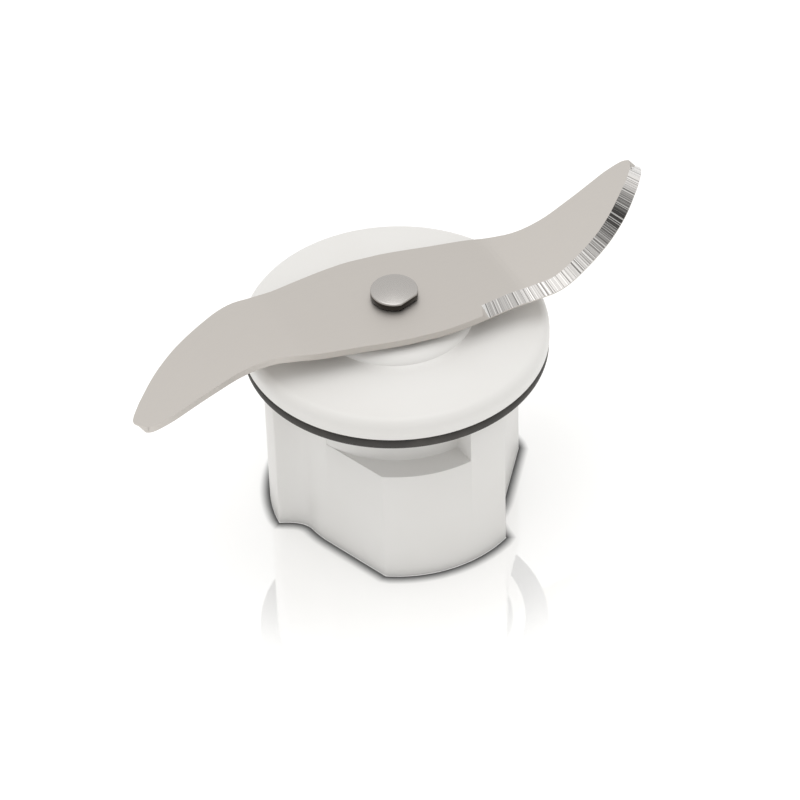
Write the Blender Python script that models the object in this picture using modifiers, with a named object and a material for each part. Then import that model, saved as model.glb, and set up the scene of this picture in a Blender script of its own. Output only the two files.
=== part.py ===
"""Blade unit of a food-processor mill cup: bayonet collar, sealed bearing and S-shaped cutter.

Metres, +Z up, origin on the spindle axis at the foot of the collar.
"""

import math

import bmesh
import bpy
from mathutils import Matrix, Vector

MM = 0.001

# ---- fits ----
SEAT_GAP = 0.15 * MM          # between pieces that touch
RUNNING_GAP = 0.15 * MM       # between turning and standing pieces, on radius

# ---- collar ----
LOBE_COUNT = 3
LOBE_REACH = 4.7 * MM              # of a lobe past the neck
LOBE_START = math.radians(-97.6)   # sharp corner of the first lobe
LOBE_END = math.radians(-38.0)     # rounded end of the first lobe
STOP_START = math.radians(-58.2)   # radial face that stops the bayonet
LOBE_RUNOUT = math.radians(13.0)   # angle taken by the hollow curve at the lobe's end
SLOT_HEIGHT = 10.0 * MM            # from a ledge up to the seal's seat
COLLAR_HEIGHT = 36.0 * MM
COLLAR_WALL = 2.4 * MM

# ---- seal and cap ----
SEAL_THICKNESS = 2.3 * MM
SEAL_INSET = 0.1 * MM              # of the seal under the cap's rim
SEAL_SEAT = 1.0 * MM               # of the seal on the lobes
CAP_RADIUS = 29.2 * MM
CAP_SIDE = 2.0 * MM
CAP_ROUND = 2.25 * MM
CAP_WALL = 2.6 * MM
RIM_OVERHANG = 4.8 * MM            # of the rim past the spigot
SPIGOT_WALL = 6.2 * MM
HUB_WALL = 2.25 * MM
BOSS_FOOT_RADIUS = 15.0 * MM
BOSS_FOOT_RISE = 1.4 * MM          # of the dome, from the rim to the foot of the boss
BOSS_TOP_RADIUS = 11.4 * MM
BOSS_RISE = 2.0 * MM

# ---- screws that hold the cap to the collar ----
SCREW_COUNT = 3
SCREW_RADIUS = 1.3 * MM
SCREW_HEAD_RADIUS = 2.5 * MM
SCREW_HEAD_HEIGHT = 1.6 * MM
SCREW_LENGTH = 7.6 * MM
SCREW_PILLAR_RADIUS = 2.8 * MM
SCREW_SLOT = (3.0 * MM, 0.8 * MM, 0.9 * MM)
SCREW_TURN = math.radians(22.0)

# ---- bearing ----
SPINDLE_RADIUS = 4.0 * MM
BUSH_WALL = 0.85 * MM
FELT_LENGTH = 6.0 * MM
OIL_SPACE = 2.9 * MM               # between the felt and each bush
SLEEVE_WALL = 1.85 * MM
SLEEVE_SHOULDER_WIDTH = 2.4 * MM
SLEEVE_SHOULDER_HEIGHT = 2.4 * MM
NUT_WALL = 2.85 * MM
NUT_HEIGHT = 3.0 * MM
LIP_SEAL_WIDTH = 3.25 * MM
LIP_SEAL_HEIGHT = 4.4 * MM
LIP_SEAL_FLOOR = 1.0 * MM          # of the cap under the seal's pocket

# ---- blade ----
BLADE_THICKNESS = 1.4 * MM
BLADE_TURN = math.radians(26.0)
BEND_STATION = 22.3 * MM
BEND_LENGTH = 3.0 * MM
NEAR_SLOPE = math.tan(math.radians(7.5))     # the near wing rises past its bend
FAR_SLOPE = math.tan(math.radians(2.0))      # the far wing falls
EDGE_THICKNESS = 0.25 * MM
# (distance along the wing, hollow edge, cutting edge) in millimetres from the long axis
BLADE_STATIONS = (
    (3.0, 12.2, -13.1),
    (8.0, 11.0, -13.2),
    (12.0, 9.9, -13.0),
    (16.0, 8.9, -12.7),
    (20.0, 7.8, -12.4),
    (24.0, 6.2, -12.7),
    (27.5, 5.0, -13.1),
    (31.0, 4.7, -12.5),
    (35.0, 5.1, -10.9),
    (39.0, 6.1, -9.0),
    (43.0, 7.2, -6.7),
    (47.0, 8.4, -3.8),
    (50.0, 9.3, -1.2),
    (53.0, 9.9, 1.8),
    (54.8, 10.0, 3.7),
)
BLADE_TIP = ((55.9, 9.5), (56.8, 8.4), (57.2, 6.8))
# (distance along the wing, how far the grinding reaches in), in millimetres
BEVEL_WIDTHS = ((12.6, 2.7), (50.0, 2.7), (58.0, 2.1))

# ---- spindle head and washers ----
HEAD_LIP = 0.5 * MM
HEAD_CUT = 0.5 * MM              # depth of the flat on its side
HEAD_HEIGHT = 1.6 * MM
TANG_CUT = 0.9 * MM
FLAT_NORMAL = math.radians(-47.0)
WASHER_WIDTH = 3.45 * MM
WASHER_THICKNESS = 0.35 * MM
THRUST_WIDTH = 2.85 * MM
THRUST_THICKNESS = 0.3 * MM
LOWER_THRUST_THICKNESS = 1.55 * MM

# ---- lower end of the spindle ----
CLIP_THICKNESS = 0.8 * MM
CLIP_WIDTH = 2.55 * MM
CLIP_MOUTH = 4.4 * MM
CLIP_GROOVE_DEPTH = 0.7 * MM
CLIP_PLAY = 0.1 * MM
COUPLING_SEAT_STEP = 0.6 * MM
COUPLING_SEAT_CUT = 0.7 * MM
COUPLING_HUB_WALL = 2.25 * MM
COUPLING_FOOT = 2.4 * MM
COUPLING_HEIGHT = 8.2 * MM
COUPLING_PLATE = 3.0 * MM
COUPLING_HUB_LIFT = 1.0 * MM       # of the hub above the ends of the dogs
DOG_COUNT = 4
DOG_WIDTH = 5.0 * MM
DOG_REACH = 3.6 * MM
INSERT_WALL = 2.45 * MM
INSERT_HEIGHT = 4.2 * MM
LOCK_NUT_WALL = 1.35 * MM
LOCK_NUT_HEIGHT = 2.4 * MM
SPANNER_GAP = 0.98 * MM
THREAD_STEP = 0.9 * MM
THREAD_PAST_NUT = 0.8 * MM

# ---- radii that follow ----
SEAL_RADIUS = CAP_RADIUS - SEAL_INSET
SPIGOT_RADIUS = CAP_RADIUS - RIM_OVERHANG
SPIGOT_INNER_RADIUS = SPIGOT_RADIUS - SPIGOT_WALL
LOBE_RADIUS = SPIGOT_RADIUS + SEAT_GAP + SEAL_SEAT
NECK_RADIUS = LOBE_RADIUS - LOBE_REACH
BUSH_RADIUS = SPINDLE_RADIUS + RUNNING_GAP + BUSH_WALL
SLEEVE_RADIUS = BUSH_RADIUS + SEAT_GAP + SLEEVE_WALL
SLEEVE_SHOULDER_RADIUS = SLEEVE_RADIUS + SLEEVE_SHOULDER_WIDTH
HUB_RADIUS = SLEEVE_SHOULDER_RADIUS + SEAT_GAP + HUB_WALL
NUT_ACROSS_FLATS = 2 * (SLEEVE_RADIUS + SEAT_GAP + NUT_WALL)
LIP_SEAL_RADIUS = SPINDLE_RADIUS + RUNNING_GAP + LIP_SEAL_WIDTH
NECK_INNER_RADIUS = NECK_RADIUS - COLLAR_WALL - SEAT_GAP
SCREW_CIRCLE = (NUT_ACROSS_FLATS / math.sqrt(3) + NECK_INNER_RADIUS) / 2
HEAD_RADIUS = SPINDLE_RADIUS + HEAD_LIP
TANG_FLAT = SPINDLE_RADIUS - TANG_CUT
WASHER_RADIUS = SPINDLE_RADIUS + SEAT_GAP + WASHER_WIDTH
THRUST_RADIUS = SPINDLE_RADIUS + SEAT_GAP + THRUST_WIDTH
CLIP_GROOVE_RADIUS = SPINDLE_RADIUS - CLIP_GROOVE_DEPTH
CLIP_RADIUS = CLIP_GROOVE_RADIUS + SEAT_GAP + CLIP_WIDTH
COUPLING_SEAT_RADIUS = SPINDLE_RADIUS - COUPLING_SEAT_STEP
COUPLING_SEAT_FLAT = COUPLING_SEAT_RADIUS - COUPLING_SEAT_CUT
INSERT_RADIUS = COUPLING_SEAT_RADIUS + SEAT_GAP + INSERT_WALL
COUPLING_HUB_RADIUS = INSERT_RADIUS + SEAT_GAP + COUPLING_HUB_WALL
COUPLING_RADIUS = COUPLING_HUB_RADIUS + DOG_REACH
THREAD_RADIUS = COUPLING_SEAT_RADIUS - THREAD_STEP
LOCK_NUT_ACROSS_FLATS = 2 * (THREAD_RADIUS + SEAT_GAP + LOCK_NUT_WALL)
LOCK_NUT_HOLE_RADIUS = LOCK_NUT_ACROSS_FLATS / math.sqrt(3) + SPANNER_GAP

# ---- heights that follow ----
LEDGE_HEIGHT = COLLAR_HEIGHT - SLOT_HEIGHT
DECK_FOOT = COLLAR_HEIGHT - COLLAR_WALL
SEAL_FOOT = COLLAR_HEIGHT + SEAT_GAP
CAP_FOOT = SEAL_FOOT + SEAL_THICKNESS + SEAT_GAP
RIM_TOP = CAP_FOOT + CAP_SIDE + CAP_ROUND
BOSS_FOOT = RIM_TOP + BOSS_FOOT_RISE
BOSS_TOP = BOSS_FOOT + BOSS_RISE
LIP_SEAL_FOOT = BOSS_TOP - SEAT_GAP - LIP_SEAL_HEIGHT
SLEEVE_TOP = LIP_SEAL_FOOT - SEAT_GAP - LIP_SEAL_FLOOR - SEAT_GAP
THRUST_FOOT = BOSS_TOP + SEAT_GAP
WASHER_FOOT = THRUST_FOOT + THRUST_THICKNESS + SEAT_GAP
BLADE_FOOT = WASHER_FOOT + WASHER_THICKNESS + SEAT_GAP
BLADE_TOP = BLADE_FOOT + BLADE_THICKNESS
HEAD_FOOT = BLADE_TOP + SEAT_GAP
COUPLING_TOP = COUPLING_FOOT + COUPLING_HEIGHT
CLIP_FOOT = COUPLING_TOP + SEAT_GAP + CLIP_PLAY
LOWER_THRUST_FOOT = CLIP_FOOT + CLIP_THICKNESS + SEAT_GAP
LOWER_THRUST_TOP = LOWER_THRUST_FOOT + LOWER_THRUST_THICKNESS
SLEEVE_FOOT = LOWER_THRUST_TOP + SEAT_GAP
BUSH_LENGTH = (SLEEVE_TOP - SLEEVE_FOOT - FELT_LENGTH) / 2 - SEAT_GAP - OIL_SPACE

ROUND_STEPS = 72
SMALL_STEPS = 32


# ---- scene ----
def clear_scene():
    for obj in list(bpy.data.objects):
        bpy.data.objects.remove(obj, do_unlink=True)


def new_collection(name):
    group = bpy.data.collections.new(name)
    bpy.context.scene.collection.children.link(group)
    return group


def material(name, colour, roughness, metallic=0.0):
    made = bpy.data.materials.new(name)
    made.use_nodes = True
    shader = made.node_tree.nodes["Principled BSDF"]
    shader.inputs["Base Color"].default_value = (*colour, 1.0)
    shader.inputs["Roughness"].default_value = roughness
    shader.inputs["Metallic"].default_value = metallic
    made.diffuse_color = (*colour, 1.0)
    return made


def place(name, mesh, group, finish=None):
    obj = bpy.data.objects.new(name, mesh)
    group.objects.link(obj)
    if finish:
        mesh.materials.append(finish)
    else:
        obj.hide_render = True
        obj.display_type = "WIRE"
    return obj


def from_bmesh(name, shape, group, finish=None, sharp=30.0):
    """An object of this shape; without a finish it is a cutter."""
    bmesh.ops.recalc_face_normals(shape, faces=shape.faces)
    mesh = bpy.data.meshes.new(name)
    shape.to_mesh(mesh)
    shape.free()
    mesh.shade_smooth()
    mesh.set_sharp_from_angle(angle=math.radians(sharp))
    return place(name, mesh, group, finish)


# ---- shapes ----
def turned(name, profile, group, finish, steps=SMALL_STEPS, closed=True):
    """A (radius, height) outline, listed up its outer side, turned once round the spindle axis."""
    points = [(radius, 0.0, height) for radius, height in reversed(profile)]
    edges = [(i, i + 1) for i in range(len(points) - 1)]
    if closed:
        edges.append((len(points) - 1, 0))
    mesh = bpy.data.meshes.new(name)
    mesh.from_pydata(points, edges, [])
    obj = place(name, mesh, group, finish)
    turn = obj.modifiers.new("turn", "SCREW")
    turn.steps = steps
    turn.render_steps = steps
    turn.use_merge_vertices = True
    turn.merge_threshold = 0.01 * MM
    return obj


def cylinder(name, radius, foot, top, group, finish=None, centre=(0.0, 0.0), steps=SMALL_STEPS):
    shape = bmesh.new()
    bmesh.ops.create_cone(
        shape, cap_ends=True, segments=steps, radius1=radius, radius2=radius, depth=top - foot,
        matrix=Matrix.Translation((*centre, (foot + top) / 2)),
    )
    return from_bmesh(name, shape, group, finish)


def hexagon(name, across_flats, foot, top, group, finish):
    return cylinder(name, across_flats / 2 / math.cos(math.pi / 6), foot, top, group, finish, steps=6)


def block(name, centre, size, foot, top, group, turn=0.0):
    shape = bmesh.new()
    seat = Matrix.Translation((*centre, (foot + top) / 2)) @ Matrix.Rotation(turn, 4, "Z")
    bmesh.ops.create_cube(shape, size=1.0, matrix=seat @ Matrix.Diagonal((*size, top - foot, 1.0)))
    return from_bmesh(name, shape, group)


def prism(name, outline, foot, top, group, finish=None):
    """A flat outline raised between two heights."""
    shape = bmesh.new()
    face = shape.faces.new([shape.verts.new((x, y, foot)) for x, y in outline])
    raised = bmesh.ops.extrude_face_region(shape, geom=[face])["geom"]
    verts = [item for item in raised if isinstance(item, bmesh.types.BMVert)]
    bmesh.ops.translate(shape, verts=verts, vec=(0, 0, top - foot))
    return from_bmesh(name, shape, group, finish)


def polar(radius, angle):
    return (radius * math.cos(angle), radius * math.sin(angle))


def arc(radius, start, end, steps):
    return [polar(radius, start + (end - start) * i / steps) for i in range(steps + 1)]


def tube_profile(inner, outer, foot, top, chamfer=0.0):
    if not chamfer:
        return [(inner, foot), (outer, foot), (outer, top), (inner, top)]
    return [
        (inner, foot),
        (outer - chamfer, foot),
        (outer, foot + chamfer),
        (outer, top - chamfer),
        (outer - chamfer, top),
        (inner, top),
    ]


def double_flat(radius, flat, steps=8):
    """A circle with two flats, facing along and against FLAT_NORMAL."""
    half = math.acos(flat / radius)
    first = arc(radius, FLAT_NORMAL + half, FLAT_NORMAL + math.pi - half, steps)
    second = arc(radius, FLAT_NORMAL + math.pi + half, FLAT_NORMAL + math.tau - half, steps)
    return first + second


def combine(obj, other, operation="DIFFERENCE"):
    step = obj.modifiers.new(other.name, "BOOLEAN")
    step.operation = operation
    step.object = other
    step.solver = "EXACT"


# ---- collar ----
def run_out(radius, neck, turn, steps=6):
    """The hollow curve from the neck out to the rounded end of a lobe."""
    start = Vector(polar(neck, LOBE_END + turn + LOBE_RUNOUT))
    pull = Vector(polar(neck, LOBE_END + turn + LOBE_RUNOUT * 0.35))
    end = Vector(polar(radius, LOBE_END + turn))
    points = []
    for i in range(steps + 1):
        t = i / steps
        points.append(tuple((1 - t) ** 2 * start + 2 * t * (1 - t) * pull + t * t * end))
    return points


def lobed_outline(radius, neck):
    """Neck circle with its lobes; each starts on a flat that leaves the neck as a tangent."""
    outline = []
    tangent = math.acos(neck / radius)
    for number in range(LOBE_COUNT):
        turn = number * math.tau / LOBE_COUNT
        outline += arc(radius, LOBE_START + turn, LOBE_END + turn, 9)[:-1]
        outline += run_out(radius, neck, turn)[::-1]
        neck_from = LOBE_END + turn + LOBE_RUNOUT
        neck_to = LOBE_START + turn + math.tau / LOBE_COUNT - tangent
        steps = max(2, round((neck_to - neck_from) / math.radians(6)))
        outline += arc(neck, neck_from, neck_to, steps)[1:]
    return outline


def slot_outline(turn):
    """Plan of the space over a ledge, from where its lobe leaves the neck to the stop."""
    tangent = math.acos(NECK_RADIUS / LOBE_RADIUS)
    start = LOBE_START - tangent + math.radians(2) + turn
    stop = STOP_START + turn
    return arc(NECK_RADIUS, start, stop, 12) + arc(LOBE_RADIUS + MM, stop, start, 12)


def build_collar(parts, cutters, finish):
    outline = lobed_outline(LOBE_RADIUS, NECK_RADIUS)
    body = prism("collar_body", outline, 0.0, COLLAR_HEIGHT, parts, finish)
    for number in range(LOBE_COUNT):
        plan = slot_outline(number * math.tau / LOBE_COUNT)
        slot = prism(f"collar_slot_{number + 1}", plan, LEDGE_HEIGHT, COLLAR_HEIGHT + MM, cutters)
        combine(body, slot)
    roof = LEDGE_HEIGHT - COLLAR_WALL
    hollow = lobed_outline(LOBE_RADIUS - COLLAR_WALL, NECK_RADIUS - COLLAR_WALL)
    combine(body, prism("collar_skirt_hollow", hollow, -MM, roof, cutters))
    combine(body, cylinder(
        "collar_neck_hollow", NECK_INNER_RADIUS, roof - MM, DECK_FOOT, cutters, steps=ROUND_STEPS,
    ))
    bore = SLEEVE_RADIUS + SEAT_GAP
    combine(body, cylinder("collar_deck_bore", bore, DECK_FOOT - MM, COLLAR_HEIGHT + MM, cutters))
    hole = SCREW_RADIUS + SEAT_GAP
    for number, centre in enumerate(screw_centres(), 1):
        combine(body, cylinder(
            f"collar_screw_hole_{number}", hole, DECK_FOOT - MM, COLLAR_HEIGHT + MM, cutters,
            centre=centre, steps=20,
        ))


def screw_centres():
    step = math.tau / SCREW_COUNT
    return [polar(SCREW_CIRCLE, SCREW_TURN + i * step) for i in range(SCREW_COUNT)]


# ---- seal and cap ----
def build_seal_ring(parts, finish):
    inner = SPIGOT_RADIUS + SEAT_GAP
    top = SEAL_FOOT + SEAL_THICKNESS
    turned("seal_ring", tube_profile(inner, SEAL_RADIUS, SEAL_FOOT, top, 0.3 * MM), parts, finish, ROUND_STEPS)


def rim_line(steps=6):
    """The rounded edge of the cap, from its upright side to its top."""
    centre = (CAP_RADIUS - CAP_ROUND, CAP_FOOT + CAP_SIDE)
    line = []
    for i in range(steps + 1):
        radius, height = polar(CAP_ROUND, math.pi / 2 * i / steps)
        line.append((centre[0] + radius, centre[1] + height))
    return line


def dome_line(steps=6):
    """From the rounded edge in to the foot of the boss, flattening as it goes."""
    start = CAP_RADIUS - CAP_ROUND
    reach = start - BOSS_FOOT_RADIUS
    line = []
    for i in range(1, steps + 1):
        t = i / steps
        line.append((start - reach * t, RIM_TOP + BOSS_FOOT_RISE * (1 - (1 - t) ** 1.35)))
    return line


def boss_line(steps=5):
    """A quarter of an ellipse from the foot of the boss to its flat top."""
    side = BOSS_FOOT_RADIUS - BOSS_TOP_RADIUS
    line = []
    for i in range(1, steps + 1):
        across, up = polar(1.0, math.pi / 2 * i / steps)
        line.append((BOSS_TOP_RADIUS + side * across, BOSS_FOOT + BOSS_RISE * up))
    return line


def build_cap(parts, cutters, finish):
    pocket = LIP_SEAL_RADIUS + SEAT_GAP
    pocket_foot = LIP_SEAL_FOOT - SEAT_GAP
    throat = (SPINDLE_RADIUS + BUSH_RADIUS) / 2 + RUNNING_GAP
    sleeve_bore = SLEEVE_RADIUS + SEAT_GAP
    shoulder_bore = SLEEVE_SHOULDER_RADIUS + SEAT_GAP
    shoulder_top = SEAL_FOOT + SLEEVE_SHOULDER_HEIGHT + SEAT_GAP
    roof = RIM_TOP + BOSS_FOOT_RISE / 2 - CAP_WALL
    outside = [(SPIGOT_RADIUS, SEAL_FOOT), (SPIGOT_RADIUS, CAP_FOOT), (CAP_RADIUS, CAP_FOOT)]
    outside += rim_line() + dome_line() + boss_line()
    inside = [
        (pocket, BOSS_TOP),
        (pocket, pocket_foot),
        (throat, pocket_foot),
        (throat, SLEEVE_TOP + SEAT_GAP),
        (sleeve_bore, SLEEVE_TOP + SEAT_GAP),
        (sleeve_bore, shoulder_top),
        (shoulder_bore, shoulder_top),
        (shoulder_bore, SEAL_FOOT),
        (HUB_RADIUS, SEAL_FOOT),
        (HUB_RADIUS, roof),
        (SPIGOT_INNER_RADIUS, roof),
        (SPIGOT_INNER_RADIUS, SEAL_FOOT),
    ]
    cap = turned("flange_cap", outside + inside, parts, finish, ROUND_STEPS)
    hole = SCREW_RADIUS + SEAT_GAP
    hole_top = DECK_FOOT + SCREW_LENGTH + SEAT_GAP
    for number, centre in enumerate(screw_centres(), 1):
        combine(cap, cylinder(
            f"cap_pillar_{number}", SCREW_PILLAR_RADIUS, SEAL_FOOT, roof + MM / 2, cutters,
            centre=centre, steps=24,
        ), "UNION")
        combine(cap, cylinder(
            f"cap_screw_hole_{number}", hole, SEAL_FOOT - MM, hole_top, cutters,
            centre=centre, steps=20,
        ))


def build_screws(parts, cutters, finish):
    head_top = DECK_FOOT - SEAT_GAP
    head_foot = head_top - SCREW_HEAD_HEIGHT
    edge = 0.5 * MM
    profile = [
        (0.0, head_foot),
        (SCREW_HEAD_RADIUS - edge, head_foot),
        (SCREW_HEAD_RADIUS, head_foot + edge),
        (SCREW_HEAD_RADIUS, head_top),
        (SCREW_RADIUS, head_top),
        (SCREW_RADIUS, head_top + SCREW_LENGTH - SCREW_RADIUS),
        (0.0, head_top + SCREW_LENGTH),
    ]
    length, width, depth = SCREW_SLOT
    for number, centre in enumerate(screw_centres(), 1):
        screw = turned(f"cap_screw_{number}", profile, parts, finish, 24, closed=False)
        screw.location = (*centre, 0.0)
        for way, turn in (("along", 0.0), ("across", math.pi / 2)):
            combine(screw, block(
                f"screw_slot_{way}_{number}", centre, (length, width), head_foot - MM,
                head_foot + depth, cutters, turn,
            ))


# ---- bearing ----
def build_sleeve(parts, finish):
    bore = BUSH_RADIUS + SEAT_GAP
    edge = 0.4 * MM
    shoulder_top = SEAL_FOOT + SLEEVE_SHOULDER_HEIGHT
    profile = [
        (bore, SLEEVE_FOOT),
        (SLEEVE_RADIUS - edge, SLEEVE_FOOT),
        (SLEEVE_RADIUS, SLEEVE_FOOT + edge),
        (SLEEVE_RADIUS, SEAL_FOOT),
        (SLEEVE_SHOULDER_RADIUS, SEAL_FOOT),
        (SLEEVE_SHOULDER_RADIUS, shoulder_top),
        (SLEEVE_RADIUS, shoulder_top),
        (SLEEVE_RADIUS, SLEEVE_TOP - edge),
        (SLEEVE_RADIUS - edge, SLEEVE_TOP),
        (bore, SLEEVE_TOP),
    ]
    turned("bearing_sleeve", profile, parts, finish)


def build_bushes(parts, bronze, felt):
    inner = SPINDLE_RADIUS + RUNNING_GAP
    middle = (SLEEVE_FOOT + SLEEVE_TOP) / 2
    rings = (
        ("lower_bush", SLEEVE_FOOT + SEAT_GAP, BUSH_LENGTH, bronze),
        ("upper_bush", SLEEVE_TOP - SEAT_GAP - BUSH_LENGTH, BUSH_LENGTH, bronze),
        ("oil_felt", middle - FELT_LENGTH / 2, FELT_LENGTH, felt),
    )
    for name, foot, length, finish in rings:
        turned(name, tube_profile(inner, BUSH_RADIUS, foot, foot + length, 0.2 * MM), parts, finish)


def build_lip_seal(parts, finish):
    lip = SPINDLE_RADIUS + RUNNING_GAP
    foot = LIP_SEAL_FOOT
    top = foot + LIP_SEAL_HEIGHT
    groove = 0.8 * MM
    edge = 0.3 * MM
    profile = [
        (lip + groove, foot),
        (LIP_SEAL_RADIUS, foot),
        (LIP_SEAL_RADIUS, top - edge),
        (LIP_SEAL_RADIUS - edge, top),
        (lip + edge, top),
        (lip, top - edge),
        (lip, top - groove),
        (lip + groove, top - 2 * groove),
        (lip, foot + 2 * groove),
        (lip, foot + groove),
    ]
    turned("shaft_lip_seal", profile, parts, finish)


def build_sleeve_nut(parts, cutters, finish):
    top = DECK_FOOT - SEAT_GAP
    foot = top - NUT_HEIGHT
    nut = hexagon("sleeve_nut", NUT_ACROSS_FLATS, foot, top, parts, finish)
    combine(nut, cylinder("sleeve_nut_hole", SLEEVE_RADIUS + SEAT_GAP, foot - MM, top + MM, cutters))


# ---- blade, worked in millimetres ----
def smooth_line(points, before, after, steps=3):
    """A smooth line through every point, ends included, that runs on from one point and towards another."""
    padded = [before, *points, after]
    line = []
    for i in range(1, len(padded) - 2):
        a, b, c, d = (Vector(point) for point in padded[i - 1:i + 3])
        for k in range(steps):
            t = k / steps
            bent = (2 * a - 5 * b + 4 * c - d) * t * t + (3 * b - a - 3 * c + d) * t ** 3
            line.append(tuple((2 * b + (c - a) * t + bent) / 2))
    return line + [tuple(points[-1])]


def bevel_width(station):
    """How far the grinding reaches in from the cutting edge."""
    for (near, first), (far, second) in zip(BEVEL_WIDTHS, BEVEL_WIDTHS[1:]):
        if near <= station <= far:
            return first + (second - first) * (station - near) / (far - near)
    return 0.0


def half_outline():
    """Cutting edge out to the tip, then the hollow edge back, as (x, y, ground width)."""
    first, middle, corner = BLADE_TIP
    cutting = [(x, edge) for x, _, edge in BLADE_STATIONS] + [corner, middle]
    hollow = [first] + [(x, edge) for x, edge, _ in reversed(BLADE_STATIONS)]
    far_cutting, far_hollow = ((-x, -y) for x, y in (cutting[0], hollow[-1]))
    cutting = smooth_line(cutting, far_hollow, first)
    hollow = smooth_line(hollow, middle, far_cutting)
    return [(x, y, bevel_width(x)) for x, y in cutting] + [(x, y, 0.0) for x, y in hollow]


def inner_line(outline):
    """Each outline point moved in by its ground width, square to the edge."""
    moved = []
    for i, (x, y, width) in enumerate(outline):
        before = Vector(outline[i - 1][:2])
        after = Vector(outline[(i + 1) % len(outline)][:2])
        along = (after - before).normalized()
        moved.append((x - along.y * width, y + along.x * width))
    return moved


def blade_rings():
    """Top, upper edge, lower edge and underside; the far wing is ground on its other face."""
    near = half_outline()
    inner = inner_line(near)
    thickness = BLADE_THICKNESS / MM
    thin = EDGE_THICKNESS / MM
    top, upper, lower, under = [], [], [], []
    for (x, y, width), (ix, iy) in zip(near, inner):
        top.append((ix, iy, thickness))
        upper.append((x, y, thin if width else thickness))
        lower.append((x, y, 0.0))
        under.append((x, y, 0.0))
    for (x, y, width), (ix, iy) in zip(near, inner):
        top.append((-x, -y, thickness))
        upper.append((-x, -y, thickness))
        lower.append((-x, -y, thickness - thin if width else 0.0))
        under.append((-ix, -iy, 0.0))
    return top, upper, lower, under


def bend(x):
    """How far a wing has risen, or fallen on the far side, at this distance from the axis."""
    length = BEND_LENGTH / MM
    past = abs(x) - BEND_STATION / MM + length / 2
    if past <= 0:
        return 0.0
    rise = past * past / (2 * length) if past < length else past - length / 2
    return rise * NEAR_SLOPE if x > 0 else -rise * FAR_SLOPE


def cut_at_bends(shape, cuts=3):
    """Edges across both wings where they bend."""
    start = (BEND_STATION - BEND_LENGTH / 2) / MM
    for side in (-1, 1):
        for i in range(cuts + 1):
            station = side * (start + BEND_LENGTH / MM * i / cuts)
            geometry = shape.verts[:] + shape.edges[:] + shape.faces[:]
            bmesh.ops.bisect_plane(
                shape, geom=geometry, dist=1e-5, plane_co=(station, 0, 0), plane_no=(1, 0, 0)
            )


def build_blade(parts, cutters, finish):
    shape = bmesh.new()
    rings = [[shape.verts.new(point) for point in ring] for ring in blade_rings()]
    for first, second in zip(rings, rings[1:]):
        for i in range(len(first)):
            shape.faces.new((first[i - 1], first[i], second[i], second[i - 1]))
    shape.faces.new(rings[0])
    shape.faces.new(rings[-1])
    bmesh.ops.remove_doubles(shape, verts=shape.verts, dist=1e-4)
    bmesh.ops.recalc_face_normals(shape, faces=shape.faces)
    cut_at_bends(shape)
    for vertex in shape.verts:
        vertex.co.z += bend(vertex.co.x)
    bmesh.ops.triangulate(shape, faces=shape.faces)
    bmesh.ops.scale(shape, vec=(MM, MM, MM), verts=shape.verts)
    seat = Matrix.Translation((0, 0, BLADE_FOOT)) @ Matrix.Rotation(BLADE_TURN, 4, "Z")
    bmesh.ops.transform(shape, matrix=seat, verts=shape.verts)
    blade = from_bmesh("blade", shape, parts, finish, 12.0)
    hole = double_flat(SPINDLE_RADIUS + SEAT_GAP, TANG_FLAT + SEAT_GAP)
    combine(blade, prism("blade_hole", hole, BLADE_FOOT - MM, BLADE_TOP + MM, cutters))


# ---- spindle and what is on it ----
def build_spindle(parts, cutters, finish):
    groove_foot = CLIP_FOOT - CLIP_PLAY
    groove_top = CLIP_FOOT + CLIP_THICKNESS + CLIP_PLAY
    seat_foot = COUPLING_TOP - INSERT_HEIGHT - SEAT_GAP
    thread_foot = seat_foot - LOCK_NUT_HEIGHT - THREAD_PAST_NUT
    shoulder = WASHER_FOOT + WASHER_THICKNESS
    edge = 0.4 * MM
    profile = [
        (0.0, thread_foot),
        (THREAD_RADIUS - edge, thread_foot),
        (THREAD_RADIUS, thread_foot + edge),
        (THREAD_RADIUS, seat_foot),
        (COUPLING_SEAT_RADIUS, seat_foot),
        (COUPLING_SEAT_RADIUS, COUPLING_TOP),
        (SPINDLE_RADIUS, COUPLING_TOP),
        (SPINDLE_RADIUS, groove_foot),
        (CLIP_GROOVE_RADIUS, groove_foot),
        (CLIP_GROOVE_RADIUS, groove_top),
        (SPINDLE_RADIUS, groove_top),
        (SPINDLE_RADIUS, shoulder),
        (0.0, shoulder),
    ]
    spindle = turned("spindle", profile, parts, finish, closed=False)
    tang = double_flat(SPINDLE_RADIUS, TANG_FLAT)
    combine(spindle, prism("spindle_tang", tang, WASHER_FOOT, HEAD_FOOT + MM / 2, cutters), "UNION")
    half = math.acos(1 - HEAD_CUT / HEAD_RADIUS)
    head = arc(HEAD_RADIUS, FLAT_NORMAL + half, FLAT_NORMAL + math.tau - half, 32)
    combine(spindle, prism("spindle_head", head, HEAD_FOOT, HEAD_FOOT + HEAD_HEIGHT, cutters), "UNION")
    for number, side in enumerate((0.0, math.pi), 1):
        centre = polar(COUPLING_SEAT_FLAT + SPINDLE_RADIUS, FLAT_NORMAL + side)
        size = (SPINDLE_RADIUS * 2, SPINDLE_RADIUS * 4)
        combine(spindle, block(
            f"spindle_seat_flat_{number}", centre, size, seat_foot, COUPLING_TOP - SEAT_GAP,
            cutters, FLAT_NORMAL,
        ))


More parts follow.
